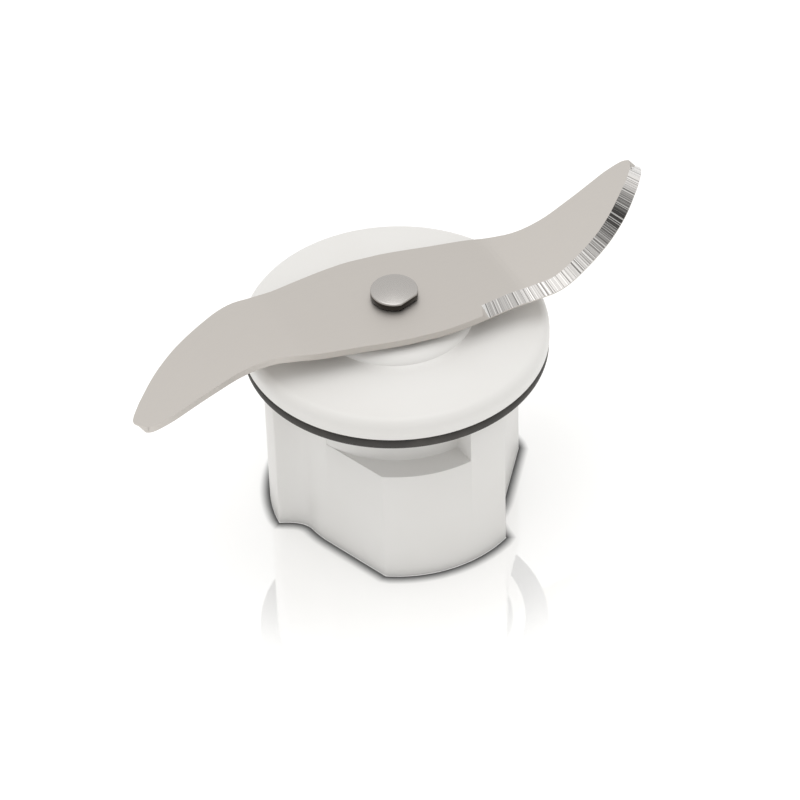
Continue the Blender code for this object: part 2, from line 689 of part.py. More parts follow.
def build_washers(parts, steel, plastic):
    inner = SPINDLE_RADIUS + SEAT_GAP
    rings = (
        ("blade_washer", WASHER_RADIUS, WASHER_FOOT, WASHER_FOOT + WASHER_THICKNESS, steel),
        ("upper_thrust_washer", THRUST_RADIUS, THRUST_FOOT, THRUST_FOOT + THRUST_THICKNESS, plastic),
        ("lower_thrust_washer", THRUST_RADIUS, LOWER_THRUST_FOOT, LOWER_THRUST_TOP, plastic),
    )
    for name, outer, foot, top, finish in rings:
        turned(name, tube_profile(inner, outer, foot, top), parts, finish)


def build_clip(parts, cutters, finish):
    inner = CLIP_GROOVE_RADIUS + SEAT_GAP
    top = CLIP_FOOT + CLIP_THICKNESS
    clip = turned("retaining_clip", tube_profile(inner, CLIP_RADIUS, CLIP_FOOT, top), parts, finish)
    size = (CLIP_MOUTH, CLIP_RADIUS * 2)
    combine(clip, block("clip_mouth", (0.0, -CLIP_RADIUS), size, CLIP_FOOT - MM, top + MM, cutters))


# ---- coupling ----
def build_coupling(parts, cutters, finish):
    plate_foot = COUPLING_TOP - COUPLING_PLATE
    hub_foot = COUPLING_FOOT + COUPLING_HUB_LIFT
    insert_foot = COUPLING_TOP - INSERT_HEIGHT - SEAT_GAP
    insert_bore = INSERT_RADIUS + SEAT_GAP
    edge = 0.7 * MM
    profile = [
        (LOCK_NUT_HOLE_RADIUS, hub_foot),
        (COUPLING_HUB_RADIUS - edge, hub_foot),
        (COUPLING_HUB_RADIUS, hub_foot + edge),
        (COUPLING_HUB_RADIUS, plate_foot),
        (COUPLING_RADIUS, plate_foot),
        (COUPLING_RADIUS, COUPLING_TOP - edge),
        (COUPLING_RADIUS - edge, COUPLING_TOP),
        (insert_bore, COUPLING_TOP),
        (insert_bore, insert_foot),
        (LOCK_NUT_HOLE_RADIUS, insert_foot),
    ]
    coupling = turned("drive_coupling", profile, parts, finish, 48)
    for number in range(DOG_COUNT):
        turn = FLAT_NORMAL + number * math.tau / DOG_COUNT
        centre = polar(COUPLING_HUB_RADIUS + DOG_REACH / 2 - edge, turn)
        size = (DOG_REACH, DOG_WIDTH)
        dog = block(f"coupling_dog_{number + 1}", centre, size, COUPLING_FOOT, plate_foot + MM, cutters, turn)
        combine(coupling, dog, "UNION")


def build_coupling_insert(parts, cutters, finish):
    foot = COUPLING_TOP - INSERT_HEIGHT
    top = COUPLING_TOP - SEAT_GAP
    insert = cylinder("coupling_insert", INSERT_RADIUS, foot, top, parts, finish)
    hole = double_flat(COUPLING_SEAT_RADIUS + SEAT_GAP, COUPLING_SEAT_FLAT + SEAT_GAP)
    combine(insert, prism("insert_hole", hole, foot - MM, top + MM, cutters))


def build_lock_nut(parts, cutters, finish):
    top = COUPLING_TOP - INSERT_HEIGHT - SEAT_GAP
    foot = top - LOCK_NUT_HEIGHT
    nut = hexagon("coupling_nut", LOCK_NUT_ACROSS_FLATS, foot, top, parts, finish)
    combine(nut, cylinder("coupling_nut_hole", THREAD_RADIUS + SEAT_GAP, foot - MM, top + MM, cutters))


def main():
    clear_scene()
    parts = new_collection("blade_unit")
    cutters = new_collection("cutters")
    white = material("white_plastic", (0.80, 0.79, 0.77), 0.38)
    rubber = material("black_rubber", (0.030, 0.028, 0.026), 0.62)
    blade_steel = material("blade_steel", (0.62, 0.59, 0.56), 0.30, 1.0)
    bright_steel = material("bright_steel", (0.58, 0.56, 0.54), 0.22, 1.0)
    zinc_steel = material("zinc_steel", (0.50, 0.50, 0.51), 0.36, 1.0)
    bronze = material("sintered_bronze", (0.47, 0.29, 0.13), 0.48, 1.0)
    felt = material("oil_felt", (0.34, 0.28, 0.20), 0.95)
    nylon = material("natural_nylon", (0.72, 0.69, 0.60), 0.50)
    black_plastic = material("black_plastic", (0.025, 0.025, 0.027), 0.45)

    build_collar(parts, cutters, white)
    build_seal_ring(parts, rubber)
    build_cap(parts, cutters, white)
    build_screws(parts, cutters, zinc_steel)
    build_sleeve(parts, bright_steel)
    build_bushes(parts, bronze, felt)
    build_lip_seal(parts, rubber)
    build_sleeve_nut(parts, cutters, zinc_steel)
    build_blade(parts, cutters, blade_steel)
    build_spindle(parts, cutters, bright_steel)
    build_washers(parts, bright_steel, nylon)
    build_clip(parts, cutters, zinc_steel)
    build_coupling(parts, cutters, black_plastic)
    build_coupling_insert(parts, cutters, bright_steel)
    build_lock_nut(parts, cutters, zinc_steel)
    bpy.context.view_layer.update()


main()
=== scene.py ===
"""The blade unit of a mill cup: lobed collar, domed cap, seal ring and S-shaped cutter, in metres.

Each section below makes one piece, or a group of like pieces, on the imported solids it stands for.
"""

import math

import bpy
from mathutils import Matrix, Vector


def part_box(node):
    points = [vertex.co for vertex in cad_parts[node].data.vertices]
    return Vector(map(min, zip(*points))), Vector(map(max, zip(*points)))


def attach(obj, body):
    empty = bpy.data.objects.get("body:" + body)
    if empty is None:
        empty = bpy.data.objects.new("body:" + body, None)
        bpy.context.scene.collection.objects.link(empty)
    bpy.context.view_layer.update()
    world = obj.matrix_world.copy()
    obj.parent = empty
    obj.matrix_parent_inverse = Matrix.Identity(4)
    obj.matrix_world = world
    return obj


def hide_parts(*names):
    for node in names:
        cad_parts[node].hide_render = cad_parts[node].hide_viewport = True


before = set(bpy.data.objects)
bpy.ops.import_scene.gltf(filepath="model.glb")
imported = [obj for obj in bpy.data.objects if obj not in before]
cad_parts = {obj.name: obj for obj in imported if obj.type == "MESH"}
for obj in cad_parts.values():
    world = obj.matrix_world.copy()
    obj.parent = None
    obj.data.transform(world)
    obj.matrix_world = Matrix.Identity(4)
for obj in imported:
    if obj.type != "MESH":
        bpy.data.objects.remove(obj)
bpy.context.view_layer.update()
MM = 0.001

# ---- camera ----
# A long lens set back from the unit, looking down on the cap from the front,
# and turned a touch about its own line of sight.
CAMERA_LENS = 187.3
CAMERA_DISTANCE = 0.8
CAMERA_RISE = math.radians(42)
CAMERA_ROLL = math.radians(-1.81)
CAMERA_AIM = Vector((0.00046, 0, 0.02246))
NEAREST, FARTHEST = 0.05, 20

bpy.ops.object.camera_add()
camera = bpy.context.object
camera.data.lens = CAMERA_LENS
camera.data.clip_start = NEAREST
camera.data.clip_end = FARTHEST
back = Vector((0, -math.cos(CAMERA_RISE), math.sin(CAMERA_RISE)))
tilt = Matrix.Rotation(math.pi / 2 - CAMERA_RISE, 4, "X")
roll = Matrix.Rotation(CAMERA_ROLL, 4, "Z")
camera.matrix_world = Matrix.Translation(CAMERA_AIM + back * CAMERA_DISTANCE) @ (tilt @ roll)
bpy.context.scene.camera = camera

# ---- light ----
# A white studio: one broad soft light above and a little behind the unit,
# and an even glow from all round.
LIGHT_PLACE = Vector((-0.08, 0.10, 1.15))
LIGHT_AIM = Vector((0, 0, 0.03))
LIGHT_SIDE = 0.90
LIGHT_POWER = 3.5
GLOW_COLOUR = (1, 0.995, 0.985, 1)
GLOW_STRENGTH = 0.83

bpy.ops.object.light_add(type="AREA", location=LIGHT_PLACE)
light = bpy.context.object
light.name = "light_above"
light.data.shape = "SQUARE"
light.data.size = LIGHT_SIDE
light.data.energy = LIGHT_POWER
light.rotation_euler = (LIGHT_AIM - LIGHT_PLACE).to_track_quat("-Z", "Y").to_euler()

world = bpy.data.worlds.new("studio")
world.use_nodes = True
glow = world.node_tree.nodes["Background"]
glow.inputs["Color"].default_value = GLOW_COLOUR
glow.inputs["Strength"].default_value = GLOW_STRENGTH
bpy.context.scene.world = world
bpy.context.scene.view_settings.view_transform = "Standard"

# ---- collar ----
# The lobed skirt that locks into the cup with a part turn. Moulded in white plastic,
# open below, with a radius on every edge and the fine grain of a spark-eroded mould.
COLLAR_EDGE = 0.3 * MM
SLOT_EDGE = 0.12 * MM
LOBES = 3
LOBE_TURN = math.tau / LOBES
LOBE_TURNS = [number * LOBE_TURN for number in range(LOBES)]
LOBE_RADIUS = 25.55 * MM
NECK_RADIUS = 20.85 * MM
LOBE_START, LOBE_END = math.radians(-97.6), math.radians(-38)
RUNOUT = math.radians(13)
RUNOUT_STEPS = 9
RUNOUT_PULL = 0.35
SLOT_START = math.radians(2)
SLOT_STOP = math.radians(-58.2)
LEDGE_HEIGHT = 26 * MM
WALL = 2.4 * MM
DECK_BORE = 7.15 * MM
NECK_BORE_STEP = 0.15 * MM
SCREW_CIRCLE = 14.92 * MM
SCREW_HOLE = 1.45 * MM
SCREW_TURN = math.radians(22)


class Amount:
    """A number that changes over a surface: a node's output that plain arithmetic works on."""

    def __init__(self, finish, socket):
        self.finish = finish
        self.socket = socket

    def maths(self, operation, *values):
        sockets = dict(enumerate(values))
        return self.finish.node("ShaderNodeMath", {"operation": operation}, sockets)

    def __add__(self, other):
        return self.maths("ADD", self, other)

    def __radd__(self, other):
        return self.maths("ADD", other, self)

    def __sub__(self, other):
        return self.maths("SUBTRACT", self, other)

    def __rsub__(self, other):
        return self.maths("SUBTRACT", other, self)

    def __mul__(self, other):
        return self.maths("MULTIPLY", self, other)

    def __rmul__(self, other):
        return self.maths("MULTIPLY", other, self)

    def above(self, low, high):
        """0 up to low, 1 from high on, smooth between."""
        ease = {"interpolation_type": "SMOOTHSTEP"}
        sockets = {"Value": self, "From Min": low, "From Max": high}
        return self.finish.node("ShaderNodeMapRange", ease, sockets)


class Finish:
    """A material, and what is added to its nodes."""

    def __init__(self, name, roughness=0.5, metallic=0.0, **fixed):
        self.material = bpy.data.materials.new(name)
        self.material.use_nodes = True
        self.shader = self.material.node_tree.nodes["Principled BSDF"]
        self.shader.inputs["Roughness"].default_value = roughness
        self.shader.inputs["Metallic"].default_value = metallic
        for socket, value in fixed.items():
            self.shader.inputs[socket.replace("_", " ")].default_value = value

    def fill(self, socket, value):
        """Links an amount to a socket, or sets the socket to a plain value."""
        if isinstance(value, Amount):
            self.material.node_tree.links.new(value.socket, socket)
        else:
            socket.default_value = value

    def node(self, kind, settings=None, sockets=None, output=0):
        """A node of this type, with its settings and its sockets filled; gives its output."""
        made = self.material.node_tree.nodes.new(kind)
        for name, value in (settings or {}).items():
            setattr(made, name, value)
        for name, value in (sockets or {}).items():
            self.fill(made.inputs[name], value)
        return Amount(self, made.outputs[output])

    def place(self, stretch=(1, 1, 1), angle=0.0):
        """Where a point of the piece is, in metres, turned about Z and then stretched."""
        at = self.node("ShaderNodeTexCoord", output="Object")
        if angle:
            sockets = {"Vector": at, "Angle": angle}
            at = self.node("ShaderNodeVectorRotate", {"rotation_type": "Z_AXIS"}, sockets)
        return self.node("ShaderNodeVectorMath", {"operation": "MULTIPLY"}, {0: at, 1: stretch})

    def noise(self, scale, detail=2.0, at=None, rough=0.5):
        """Blotches, this many to the metre or so."""
        at = at or self.place()
        sockets = {"Vector": at, "Scale": scale, "Detail": detail, "Roughness": rough}
        return self.node("ShaderNodeTexNoise", {}, sockets)

    def between(self, first, second, amount):
        """One colour where the amount is 0, the other where it is 1."""
        first, second = (
            (*colour, 1) if isinstance(colour, tuple) else colour for colour in (first, second)
        )
        sockets = {"Factor": amount, 6: first, 7: second}
        return self.node("ShaderNodeMix", {"data_type": "RGBA"}, sockets, "Result")

    def colour(self, value):
        self.fill(self.shader.inputs["Base Color"], value)

    def rough(self, value):
        self.fill(self.shader.inputs["Roughness"], value)

    def bump(self, height, depth, strength):
        """Raises the surface by up to this depth, in metres, where the height is 1."""
        sockets = {"Height": height, "Distance": depth, "Strength": strength}
        self.fill(self.shader.inputs["Normal"], self.node("ShaderNodeBump", {}, sockets))


def deselect():
    if bpy.context.mode != "OBJECT":
        bpy.ops.object.mode_set(mode="OBJECT")
    bpy.ops.object.select_all(action="DESELECT")


def only(piece):
    """Makes this piece the one that the next operators act on."""
    deselect()
    piece.select_set(True)
    bpy.context.view_layer.objects.active = piece


def edit(piece):
    """Opens this piece's mesh with all of it selected."""
    only(piece)
    bpy.ops.object.mode_set(mode="EDIT")
    bpy.ops.mesh.select_all(action="SELECT")


def round_edges(piece, width, segments, angle):
    """A small radius on every edge sharper than this angle, in degrees."""
    only(piece)
    bevel = piece.modifiers.new("radius", "BEVEL")
    bevel.width = width
    bevel.segments = segments
    bevel.limit_method = "ANGLE"
    bevel.angle_limit = math.radians(angle)
    bevel.use_clamp_overlap = False
    bevel.miter_outer = "MITER_ARC"
    bpy.ops.object.modifier_apply(modifier=bevel.name)


def smooth(piece, angle=32):
    """Shades across every edge blunter than this angle, in degrees."""
    only(piece)
    bpy.ops.object.shade_smooth_by_angle(angle=math.radians(angle))


def from_solid(name, node, flat=0.4):
    """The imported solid's own shape, with its triangles joined into faces again."""
    piece = bpy.data.objects.new(name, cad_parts[node].data.copy())
    bpy.context.scene.collection.objects.link(piece)
    piece.data.materials.clear()
    edit(piece)
    bpy.ops.mesh.remove_doubles(threshold=0.002 * MM)
    bpy.ops.mesh.dissolve_limited(angle_limit=math.radians(flat))
    deselect()
    return piece


def fit(piece, body, node, finish):
    """The piece rides on its body, stands for its solid and wears its finish."""
    if not piece.data.materials:
        piece.data.materials.append(finish.material)
    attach(piece, body)
    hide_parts(node)


WHITE = (0.80, 0.79, 0.77)
WHITE_WARM = (0.77, 0.755, 0.73)

white_plastic = Finish("white_plastic", 0.4, Coat_Weight=0.12, Coat_Roughness=0.25)
cloud = white_plastic.noise(45, 3)
grain = white_plastic.noise(5200, 2)
dimple = white_plastic.noise(900, 3)
warmth = cloud.above(0.35, 0.75) * 0.6 + dimple * 0.12
white_plastic.colour(white_plastic.between(WHITE, WHITE_WARM, warmth))
white_plastic.rough(0.33 + 0.12 * cloud + 0.10 * grain)
white_plastic.bump(grain * 0.7 + dimple * 0.5, 0.012 * MM, 0.5)


def polar(radius, angle):
    """A point this far from the axis, in this direction."""
    return Vector((radius * math.cos(angle), radius * math.sin(angle), 0))


def sweep(radius, start, end, step=2.0):
    """Points round a circle's part, about this many degrees apart."""
    steps = max(2, round(abs(math.degrees(end - start)) / step))
    return [polar(radius, start + (end - start) * i / steps) for i in range(steps + 1)]


def lobed(radius, neck):
    """The collar's plan: a lobe leaves the neck on a flat and comes back in a hollow curve."""
    line = []
    lead = math.acos(neck / radius)
    for lobe in LOBE_TURNS:
        line += sweep(radius, LOBE_START + lobe, LOBE_END + lobe)
        tip, pull, foot = (
            polar(size, LOBE_END + lobe + RUNOUT * share)
            for size, share in ((radius, 0), (neck, RUNOUT_PULL), (neck, 1))
        )
        for share in (i / RUNOUT_STEPS for i in range(1, RUNOUT_STEPS)):
            from_tip = 1 - share
            line.append(tip * from_tip ** 2 + pull * 2 * share * from_tip + foot * share ** 2)
        line += sweep(neck, LOBE_END + lobe + RUNOUT, LOBE_START + lobe + LOBE_TURN - lead)
    return line


def slab(name, line, foot, top):
    """A flat plan, filled and raised between two heights."""
    deselect()
    bpy.ops.mesh.primitive_circle_add(vertices=len(line), radius=1)
    piece = bpy.context.object
    piece.name = name
    for vertex, point in zip(piece.data.vertices, line):
        vertex.co = (point.x, point.y, foot)
    edit(piece)
    bpy.ops.mesh.edge_face_add()
    bpy.ops.mesh.extrude_region_move()
    bpy.ops.transform.translate(value=(0, 0, top - foot))
    bpy.ops.mesh.select_all(action="SELECT")
    bpy.ops.mesh.normals_make_consistent(inside=False)
    deselect()
    return piece


def drill(name, radius, foot, top, at=(0, 0), steps=96):
    """A round cutter between two heights."""
    deselect()
    middle = (at[0], at[1], (foot + top) / 2)
    bpy.ops.mesh.primitive_cylinder_add(
        vertices=steps, radius=radius, depth=top - foot, location=middle
    )
    bpy.context.object.name = name
    return bpy.context.object


def cut(piece, cutter):
    """Takes the cutter's shape out of the piece and clears the cutter away."""
    only(piece)
    step = piece.modifiers.new("cut", "BOOLEAN")
    step.operation = "DIFFERENCE"
    step.object = cutter
    bpy.ops.object.modifier_apply(modifier=step.name)
    bpy.data.objects.remove(cutter, do_unlink=True)


collar_low, collar_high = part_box("collar_body")
roof = LEDGE_HEIGHT - WALL
deck = collar_high.z - WALL
collar = slab("bayonet_collar", lobed(LOBE_RADIUS, NECK_RADIUS), collar_low.z, collar_high.z)
round_edges(collar, COLLAR_EDGE, 3, 30)
over_top = collar_high.z + MM
slot_from = LOBE_START - math.acos(NECK_RADIUS / LOBE_RADIUS) + SLOT_START
for lobe in LOBE_TURNS:
    plan = sweep(NECK_RADIUS, slot_from + lobe, SLOT_STOP + lobe)
    plan += sweep(LOBE_RADIUS + MM, SLOT_STOP + lobe, slot_from + lobe)
    cut(collar, slab("slot", plan, LEDGE_HEIGHT, over_top))
cut(collar, slab("skirt", lobed(LOBE_RADIUS - WALL, NECK_RADIUS - WALL), -MM, roof))
cut(collar, drill("neck", NECK_RADIUS - WALL - NECK_BORE_STEP, roof - MM, deck, steps=180))
cut(collar, drill("bore", DECK_BORE, deck - MM, over_top))
for lobe in LOBE_TURNS:
    hole = polar(SCREW_CIRCLE, SCREW_TURN + lobe)
    cut(collar, drill("screw_hole", SCREW_HOLE, deck - MM, over_top, hole, 32))
round_edges(collar, SLOT_EDGE, 2, 55)
smooth(collar, 26)
fit(collar, "housing", "collar_body", white_plastic)

# ---- worktop ----
# White gloss laminate. It mirrors the unit faintly close in front of it, and a thin black
# sheet round the skirt's foot, fading outward, is a painted shadow: a soft dark line.
FLOOR_SIDE = 6.0
FLOOR_WHITE = (0.95, 0.95, 0.945, 1)
FLOOR_GLOSS = 0.02
FLOOR_GLOW = 0.20
MIRROR_MIDDLE = (0, -5 * MM, 0)
MIRROR_FULL, MIRROR_END = 30 * MM, 52 * MM
MIRROR_STRENGTH = 0.3
# Painted shadow round the skirt's foot: how far out it reaches, its lift, its black and its
# strength.
FOOT_SHADOW_REACH = 2.1 * MM
FOOT_SHADOW_LIFT = 0.02 * MM
FOOT_SHADOW_BLACK = (0.03, 0.03, 0.03, 1)
FOOT_SHADOW_STRENGTH = 0.85

worktop = Finish(
    "white_worktop", FLOOR_GLOSS,
    Base_Color=FLOOR_WHITE, Emission_Color=(1, 1, 1, 1), Emission_Strength=FLOOR_GLOW,
)
off_middle = worktop.node(
    "ShaderNodeVectorMath", {"operation": "DISTANCE"},
    {0: worktop.place(), 1: MIRROR_MIDDLE}, "Value",
)
mirror = 1 - off_middle.above(MIRROR_FULL, MIRROR_END)
worktop.fill(worktop.shader.inputs["Metallic"], mirror * MIRROR_STRENGTH)
deselect()
bpy.ops.mesh.primitive_plane_add(size=FLOOR_SIDE)
floor = bpy.context.object
floor.name = "floor"
floor.data.materials.append(worktop.material)

# Painted shadow: a black sheet laid just over the worktop round the skirt's foot, its alpha fading
# outward.
foot_shadow_paint = Finish("painted_foot_shadow", 1.0, Base_Color=FOOT_SHADOW_BLACK, Specular_IOR_Level=0.0)
reach_out = foot_shadow_paint.node("ShaderNodeAttribute", {"attribute_name": "reach"}, {}, "Fac")
fading = (1 - reach_out) * (1 - reach_out * 0.4)
foot_shadow_paint.fill(foot_shadow_paint.shader.inputs["Alpha"], fading * FOOT_SHADOW_STRENGTH)
foot = lobed(LOBE_RADIUS, NECK_RADIUS)
deselect()
bpy.ops.mesh.primitive_circle_add(vertices=len(foot), radius=1)
foot_shadow_sheet = bpy.context.object
foot_shadow_sheet.name = "painted_foot_shadow"
edit(foot_shadow_sheet)
bpy.ops.mesh.select_mode(type="EDGE")
bpy.ops.mesh.extrude_edges_move()
deselect()
reach = foot_shadow_sheet.data.attributes.new("reach", "FLOAT", "POINT")
for number in range(len(foot)):
    along = foot[(number + 1) % len(foot)] - foot[number - 1]
    outward = Vector((along.y, -along.x, 0)).normalized()
    for ring in (0, 1):
        spot = foot[number] + outward * (ring * FOOT_SHADOW_REACH)
        foot_shadow_sheet.data.vertices[number + ring * len(foot)].co = (spot.x, spot.y, FOOT_SHADOW_LIFT)
        reach.data[number + ring * len(foot)].value = ring
foot_shadow_sheet.data.materials.append(foot_shadow_paint.material)

# ---- cap ----
# The dished cover that the blade runs over: a white moulding with a rounded rim, a shallow
# dome and a raised boss round the spindle. It is screwed down from inside the skirt.
def turn(name, outline, steps):
    """A (radius, height) outline, up its outer side and down its inner one, turned into a ring."""
    deselect()
    radius, height = outline[0]
    bpy.ops.mesh.primitive_circle_add(vertices=steps, radius=radius, location=(0, 0, height))
    piece = bpy.context.object
    piece.name = name
    edit(piece)
    bpy.ops.mesh.select_mode(type="EDGE")
    for next_radius, next_height in outline[1:]:
        share = next_radius / radius
        bpy.ops.mesh.extrude_edges_move()
        bpy.ops.transform.resize(value=(share, share, 1), center_override=(0, 0, height))
        bpy.ops.transform.translate(value=(0, 0, next_height - height))
        radius, height = next_radius, next_height
    bpy.ops.mesh.select_all(action="DESELECT")
    bpy.ops.mesh.select_non_manifold()
    bpy.ops.mesh.bridge_edge_loops()
    bpy.ops.mesh.select_all(action="SELECT")
    bpy.ops.mesh.normals_make_consistent(inside=False)
    deselect()
    piece.select_set(True)
    bpy.ops.object.transform_apply(location=True)
    return piece


def arc(centre, radii, start, end, steps):
    """Points on part of an ellipse, angles in degrees."""
    line = []
    for i in range(steps + 1):
        angle = math.radians(start + (end - start) * i / steps)
        radius = centre[0] + radii[0] * math.cos(angle)
        line.append((radius, centre[1] + radii[1] * math.sin(angle)))
    return line


SEAT = 0.15 * MM
RIM_ROUND = 2.25 * MM
RIM_SIDE = 2.0 * MM
RIM_FOOT_EDGE = 0.35 * MM
BOSS_FOOT_RADIUS = 15.0 * MM
BOSS_TOP_RADIUS = 11.4 * MM
BOSS_RISE = 2.0 * MM
BOSS_LIP = 0.5 * MM
BOSS_BLEND = 0.9 * MM
SPIGOT_RADIUS = 24.4 * MM
PLATE = 2.6 * MM
SEAL_POCKET_RADIUS = 7.55 * MM
DOME_STEPS = 13
DOME_FALL = 1.35
RING_STEPS = 192

cap_low, cap_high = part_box("flange_cap")
seal_low, seal_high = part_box("seal_ring")
cap_radius = cap_high.x
cap_foot = seal_high.z + SEAT
rim_top = cap_foot + RIM_SIDE + RIM_ROUND
boss_foot = cap_high.z - BOSS_RISE
dome_from = cap_radius - RIM_ROUND


def cap_outline():
    """Up over the rim, the dome and the boss, then down the pocket and the hollow inside."""
    line = [(SPIGOT_RADIUS, cap_low.z), (SPIGOT_RADIUS, cap_foot)]
    corner = (cap_radius - RIM_FOOT_EDGE, cap_foot + RIM_FOOT_EDGE)
    line += arc(corner, (RIM_FOOT_EDGE, RIM_FOOT_EDGE), -90, 0, 4)
    line += arc((dome_from, cap_foot + RIM_SIDE), (RIM_ROUND, RIM_ROUND), 0, 88, 14)
    for i in range(1, DOME_STEPS + 1):
        share = i / DOME_STEPS
        radius = dome_from - (dome_from - BOSS_FOOT_RADIUS - BOSS_BLEND) * share
        line.append((radius, rim_top + (boss_foot - rim_top) * (1 - (1 - share) ** DOME_FALL)))
    side = BOSS_FOOT_RADIUS - BOSS_TOP_RADIUS
    line += arc((BOSS_TOP_RADIUS, boss_foot), (side, BOSS_RISE), 6, 90, 14)
    pocket = SEAL_POCKET_RADIUS
    line += [(pocket + BOSS_LIP, cap_high.z)]
    line += arc((pocket + BOSS_LIP, cap_high.z - BOSS_LIP), (BOSS_LIP, BOSS_LIP), 95, 180, 4)
    line += [(pocket, boss_foot - PLATE), (SPIGOT_RADIUS - PLATE, boss_foot - PLATE)]
    return line + [(SPIGOT_RADIUS - PLATE, cap_low.z)]


cap = turn("domed_cap", cap_outline(), RING_STEPS)
smooth(cap, 40)
fit(cap, "housing", "flange_cap", white_plastic)

# ---- seal ring ----
# The black rubber ring that the cup's rim presses on. Its outer face bulges a little
# where the cap squeezes it, and moulding dust keeps it matt.
SEAL_EDGE = 0.3 * MM
SEAL_BULGE = 0.25 * MM

rubber = Finish("black_rubber", 0.6)
dust = rubber.noise(160, 4)
pores = rubber.noise(3000, 3)
rubber.colour(rubber.between((0.032, 0.029, 0.026), (0.062, 0.056, 0.050), dust.above(0.4, 0.8)))
rubber.rough(0.48 + 0.2 * dust + 0.1 * pores)
rubber.bump(pores, 0.03 * MM, 0.6)

seal_middle = (seal_low.z + seal_high.z) / 2
seal_half = (seal_high.z - seal_low.z) / 2
seal_side = seal_high.x - SEAL_BULGE
seal_bore = SPIGOT_RADIUS + SEAT
seal_outline = [(seal_bore, seal_low.z), (seal_side - SEAL_EDGE, seal_low.z)]
seal_outline += arc((seal_side, seal_middle), (SEAL_BULGE, seal_half - SEAL_EDGE), -80, 80, 10)
seal_outline += [(seal_side - SEAL_EDGE, seal_high.z), (seal_bore, seal_high.z)]
seal = turn("seal_ring_rubber", seal_outline, RING_STEPS)
smooth(seal, 50)
fit(seal, "housing", "seal_ring", rubber)

# ---- screws ----
# Three self-tapping screws, zinc plated, that pull the cap down on the collar
# from inside the skirt. Their thread is left plain.
SCREW_EDGE = 0.12 * MM

zinc = Finish("zinc_steel", 0.36, 1.0)
spangle = zinc.node(
    "ShaderNodeTexVoronoi", {}, {"Vector": zinc.place(), "Scale": 1400.0}, "Distance"
)
tarnish = zinc.noise(220, 4)
zinc.colour(zinc.between((0.50, 0.50, 0.51), (0.42, 0.40, 0.35), tarnish.above(0.45, 0.8)))
zinc.rough(0.28 + 0.2 * tarnish + 0.08 * spangle)
zinc.bump(tarnish + spangle * 0.4, 0.01 * MM, 0.5)

for number in (1, 2, 3):
    screw = from_solid(f"cross_screw_{number}", f"cap_screw_{number}")
    round_edges(screw, SCREW_EDGE, 2, 40)
    smooth(screw)
    fit(screw, "housing", f"cap_screw_{number}", zinc)

# ---- bearing ----
# A turned steel sleeve through the deck, held by a thin hexagon nut. Two oil-filled
# bronze bushes are pressed in its ends, with a ring of oiled felt between them.
# The head's side wall, between these depths below its top, is painted near-black: painted shade.
HEAD_SIDE_FOOT = (1.68 * MM, 1.62 * MM)
HEAD_SIDE_TOP = (0.42 * MM, 0.34 * MM)
HEAD_SIDE_PAINTED_SHADE = (0.05, 0.045, 0.04)

turned_steel = Finish("bright_steel", 0.24, 1.0)
across = turned_steel.place((1, 1, 0))
radius = turned_steel.node("ShaderNodeVectorMath", {"operation": "LENGTH"}, {0: across}, "Value")
height = turned_steel.node("ShaderNodeSeparateXYZ", {}, {0: turned_steel.place()}, "Z")
rings = turned_steel.node(
    "ShaderNodeTexNoise", {"noise_dimensions": "1D"},
    {"W": (radius + height) * 9000, "Scale": 1.0, "Detail": 2.0},
)
stain = turned_steel.noise(150, 3)
bright = turned_steel.between(
    (0.58, 0.56, 0.54), (0.46, 0.44, 0.42), rings * 0.5 + stain * 0.4
)
# Painted shade: a near-black band round the side wall of the spindle's head, set by height alone.
head_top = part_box("spindle")[1].z
over_foot = height.above(*(head_top - depth for depth in HEAD_SIDE_FOOT))
over_side = height.above(*(head_top - depth for depth in HEAD_SIDE_TOP))
turned_steel.colour(turned_steel.between(bright, HEAD_SIDE_PAINTED_SHADE, over_foot - over_side))
turned_steel.rough(0.18 + 0.14 * rings + 0.08 * stain)
turned_steel.bump(rings, 0.008 * MM, 0.6)

bronze = Finish("sintered_bronze", 0.48, 1.0)
grit = bronze.noise(4200, 3)
oil = bronze.noise(260, 3)
bronze.colour(bronze.between((0.47, 0.29, 0.13), (0.30, 0.17, 0.08), grit.above(0.35, 0.75)))
bronze.rough(0.30 + 0.25 * grit + 0.1 * oil)
bronze.bump(grit, 0.04 * MM, 0.8)

felt = Finish("oiled_felt", 0.95)
fibre = felt.noise(2600, 5, felt.place((1, 1, 3.5)), 0.7)
felt.colour(felt.between((0.22, 0.17, 0.11), (0.44, 0.37, 0.27), fibre.above(0.3, 0.7)))
felt.bump(fibre, 0.15 * MM, 1.0)

for name, node, slot, finish, edge in (
    ("spindle_sleeve", "bearing_sleeve", "bright_steel", turned_steel, 0.12),
    ("hexagon_nut", "sleeve_nut", "zinc_steel", zinc, 0.25),
    ("bush_below", "lower_bush", "sintered_bronze", bronze, 0.1),
    ("bush_above", "upper_bush", "sintered_bronze", bronze, 0.1),
    ("felt_ring", "oil_felt", "oil_felt", felt, 0.3),
):
    ring = from_solid(name, node)
    round_edges(ring, edge * MM, 2, 30)
    smooth(ring)
    fit(ring, "housing", node, finish)

# ---- shaft seal ----
# A small lip seal of black rubber in the cap's pocket, under the blade. It keeps food
# and water out of the bearing.
lip_seal = from_solid("lip_seal", "shaft_lip_seal")
smooth(lip_seal, 40)
fit(lip_seal, "housing", "shaft_lip_seal", rubber)

